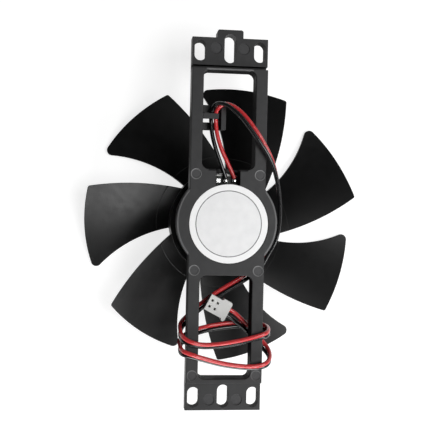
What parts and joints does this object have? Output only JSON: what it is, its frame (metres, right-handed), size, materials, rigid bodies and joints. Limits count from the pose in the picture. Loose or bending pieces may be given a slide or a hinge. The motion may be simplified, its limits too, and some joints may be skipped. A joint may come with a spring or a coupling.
{
  "type": "internal cooling fan",
  "caption": "Frameless axial cooling fan: bladed impeller and brushless motor on a flat ladder bracket with slotted end tabs, and a clipped lead wound on the bracket.",
  "frame": {"origin": "centre of the four corner slots, on the seat plane under the two tabs", "axes": "+X along the bracket to the tab with the nose, +Z to the label side, away from the impeller"},
  "size_m": [0.1451, 0.1088, 0.0338],
  "materials": {
    "bracket_plastic": "fine moulded texture",
    "impeller_plastic": "satin moulded",
    "label_paper": "satin film",
    "cap_rubber": "matt",
    "bronze": "sintered",
    "lamination": "stamped stack",
    "insulator_plastic": "moulded",
    "copper": "enamelled wire",
    "tinned_metal": "tinned",
    "board_laminate": "solder mask",
    "chip_black": "moulded",
    "chip_ceramic": "fired",
    "solder": "bright",
    "red_insulation": "satin",
    "black_insulation": "satin",
    "housing_nylon": "moulded",
    "yoke_steel": "plated",
    "ferrite": "matt",
    "boss_brass": "turned",
    "shaft_steel": "ground",
    "washer_plastic": "moulded"
  },
  "bodies": {
    "bracket_body": {"bracket": "bracket_plastic", "label": "label_paper", "oil_cap": "cap_rubber", "bearing_sleeve": "bronze", "stator_core": "lamination", "upper_insulator": "insulator_plastic", "lower_insulator": "insulator_plastic", "coil_windings": "copper", "terminal_pins": "tinned_metal", "circuit_board": "board_laminate", "hall_sensor": "chip_black", "driver_transistors": "chip_black", "chip_parts": "chip_ceramic", "solder_joints": "solder", "red_wire": "red_insulation", "black_wire": "black_insulation", "connector_housing": "housing_nylon", "crimp_terminals": "tinned_metal"},
    "rotor_body": {"impeller": "impeller_plastic", "rotor_yoke": "yoke_steel", "magnet_ring": "ferrite", "shaft_boss": "boss_brass", "shaft": "shaft_steel", "retaining_ring": "shaft_steel", "thrust_washer": "washer_plastic"}
  },
  "joints": [
    {"name": "impeller_spin", "type": "hinge", "parent": "bracket_body", "child": "rotor_body", "pos_m": [0.00085, 0, 0], "axis": [0, 0, 1], "continuous": true}
  ]
}
